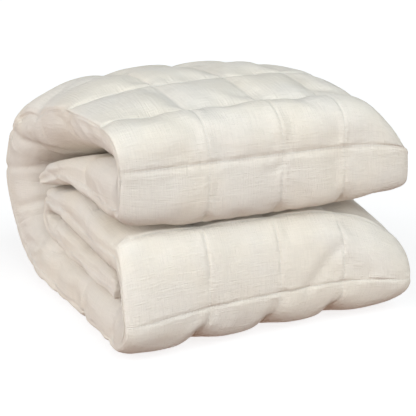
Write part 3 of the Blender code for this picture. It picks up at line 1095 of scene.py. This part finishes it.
def woven_cotton():
    """Undyed plain weave: crossing threads, slubs, gathers by the seams, painted shade on the sewn
    lines, a soft sheen.
    """
    material, tree, shader = new_material("undyed_cotton")
    height, slubs = weave(tree)
    line, fine = by_seams(tree)
    place = node(tree, "ShaderNodeTexCoord", "place").outputs["Object"]
    bleach = node(tree, "ShaderNodeTexNoise", "uneven bleach",
                  {"Vector": place, "Scale": BLEACH_SCALE, "Detail": 3.0}).outputs[0]
    # the last part lowers the tone on the sewn lines: painted shade of their grooves
    tone = PLAIN_TONE
    for part, share in ((height, THREAD_TONE), (slubs, SLUB_TONE), (bleach, BLEACH_TONE),
                        (line, SEAM_SHADE_TONE)):
        tone = calc(tree, "MULTIPLY_ADD", part, share, tone)
    warm_ivory = [value * share for value, share in zip(IVORY, WARMER)]
    warmth = node(tree, "ShaderNodeMix", "warmer in places",
                  {"A": (*IVORY, 1.0), "B": (*warm_ivory, 1.0),
                   "Factor": soft_step(tree, bleach, *WARM_SPAN, "warm places")}, data_type="RGBA")
    colour = node(tree, "ShaderNodeVectorMath", "tone",
                  {0: warmth.outputs["Result"], "Scale": tone}, operation="SCALE")
    coarse = node(tree, "ShaderNodeBump", "slubs and gathers",
                  {"Strength": 1.0, "Distance": SLUB_RELIEF,
                   "Height": calc(tree, "MULTIPLY_ADD", fine, GATHER_SHARE, slubs)})
    threads = node(tree, "ShaderNodeBump", "threads",
                   {"Strength": 0.6, "Distance": WEAVE_RELIEF, "Height": height,
                    "Normal": coarse.outputs[0]})
    feed(tree, shader, {
        "Base Color": colour.outputs[0],
        "Roughness": calc(tree, "MULTIPLY_ADD", slubs, SLUB_SHINE, ROUGHNESS),
        "Sheen Weight": 0.18,
        "Sheen Roughness": 0.5,
        "Specular IOR Level": 0.25,
        "Normal": threads.outputs[0],
    })
    return material


def sewing_thread():
    """Cotton thread: fine twisted plies, a little lighter than the cloth."""
    material, tree, shader = new_material("cotton_thread")
    place = node(tree, "ShaderNodeTexCoord", "place").outputs["Object"]
    ply = node(tree, "ShaderNodeTexWave", "twisted plies",
               {"Vector": place, "Scale": PLY_SCALE, "Distortion": 1.5}, bands_direction="DIAGONAL")
    tone = calc(tree, "MULTIPLY_ADD", ply.outputs["Fac"], PLY_TONES[1], PLY_TONES[0])
    colour = node(tree, "ShaderNodeVectorMath", "tone", {0: THREAD_IVORY, "Scale": tone},
                  operation="SCALE")
    feed(tree, shader, {"Base Color": colour.outputs[0], "Roughness": 0.75, "Sheen Weight": 0.15})
    return material


# ------------------------------ studio
CAMERA_ELEVATION = 16.8
CAMERA_TURN = -27.3
CAMERA_DISTANCE = 1.484
CAMERA_TARGET = Vector((-0.014, -0.070, 0.130))
CAMERA_LENS = 95.2
CAMERA_SENSOR = 36.0
# Two softboxes: turn, elevation, strength and colour of each.
Softbox = namedtuple("Softbox", "name turn elevation strength colour")
SOFTBOXES = (
    Softbox("softbox_left", -78.0, 22.0, 3.14, (0.94, 0.97, 1.0)),
    Softbox("softbox_right", 20.0, 31.5, 2.81, (0.86, 0.95, 1.0)),
)
SOFTNESS = 70.0            # how large the softboxes look, in degrees
OVERHEAD = (0.05, 0.045, 0.04)     # the surround above the horizon
UNDERNEATH = (0.21, 0.085, 0.03)   # and what the undersides see
HORIZON = 0.25             # half height of the soft change between them
FLOOR_HALF = 30.0
FLOOR_TONE = 0.30
FLOOR_GLOW = 0.78          # the white floor is lit from behind, as a light table is
FLOOR_BELOW = 0.0005       # the pile's underside


def toward(turn, elevation):
    """Direction from the blanket to a point at a turn and elevation, in degrees."""
    turn = math.radians(turn)
    elevation = math.radians(elevation)
    return Vector((math.sin(turn) * math.cos(elevation),
                   -math.cos(turn) * math.cos(elevation), math.sin(elevation)))


def set_camera():
    """The camera, at the photograph's angle."""
    back = toward(CAMERA_TURN, CAMERA_ELEVATION)
    lens = bpy.data.cameras.new("camera")
    lens.sensor_width = CAMERA_SENSOR
    lens.lens = CAMERA_LENS
    camera = put_object("camera", lens)
    camera.location = CAMERA_TARGET + back * CAMERA_DISTANCE
    camera.rotation_euler = back.to_track_quat("Z", "Y").to_euler()
    bpy.context.scene.camera = camera


def set_surround():
    """Dim light from all round, a little stronger and warmer from below."""
    world = bpy.data.worlds.new("studio")
    world.use_nodes = True
    tree = world.node_tree
    way = node(tree, "ShaderNodeTexCoord", "direction").outputs["Generated"]
    parts = node(tree, "ShaderNodeSeparateXYZ", "height", {0: way})
    up = soft_step(tree, parts.outputs[2], -HORIZON, HORIZON, "above the horizon")
    mix = node(tree, "ShaderNodeMix", "surround",
               {"Factor": up, "A": (*UNDERNEATH, 1.0), "B": (*OVERHEAD, 1.0)}, data_type="RGBA")
    feed(tree, tree.nodes["Background"], {0: mix.outputs["Result"]})
    bpy.context.scene.world = world


def set_softboxes():
    """Soft light from the left and from the front right."""
    for box in SOFTBOXES:
        lamp = bpy.data.lights.new(box.name, "SUN")
        lamp.energy = box.strength
        lamp.angle = math.radians(SOFTNESS)
        lamp.color = box.colour
        way = toward(box.turn, box.elevation)
        put_object(box.name, lamp).rotation_euler = way.to_track_quat("Z", "Y").to_euler()


def set_floor():
    """A plain pale floor that gives the cloth no light."""
    mesh = bmesh.new()
    bmesh.ops.create_grid(mesh, x_segments=1, y_segments=1, size=FLOOR_HALF)
    material, tree, shader = new_material("pale_floor")
    feed(tree, shader, {
        "Base Color": (FLOOR_TONE, FLOOR_TONE, FLOOR_TONE, 1.0),
        "Emission Color": (1.0, 1.0, 1.0, 1.0),
        "Emission Strength": FLOOR_GLOW,
        "Roughness": 0.9,
    })
    floor = put_object("floor", as_mesh(mesh, "floor"))
    floor.data.materials.append(material)
    floor.location = (0.0, 0.0, -FLOOR_BELOW)
    floor.visible_diffuse = False


def set_studio():
    """Camera, light and floor."""
    bpy.context.scene.view_settings.view_transform = "Standard"
    set_camera()
    set_surround()
    set_softboxes()
    set_floor()


# ------------------------------ making it
def make_cover():
    """The quilted cover: laid out, filled, rounded, sewn and given its cloth."""
    mesh, move = build_pad()
    cover = put_object("quilted_cover", as_mesh(mesh, "quilted_cover"))
    room = free_room(cover.data)
    make_uneven(cover.data, spread_low(room, cover.data, 1))
    fill_with_cloth(cover, room)
    subdivide(cover)
    sink_seams(cover, move, spread_low(free_room(cover.data), cover.data, 1))
    cover.data.shade_smooth()
    cover.data.materials.append(woven_cotton())
    return cover


set_studio()
cover = make_cover()
stitches = make_stitches(cover, sewing_thread())
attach(cover, "root")
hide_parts("blanket")
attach(stitches, "root")
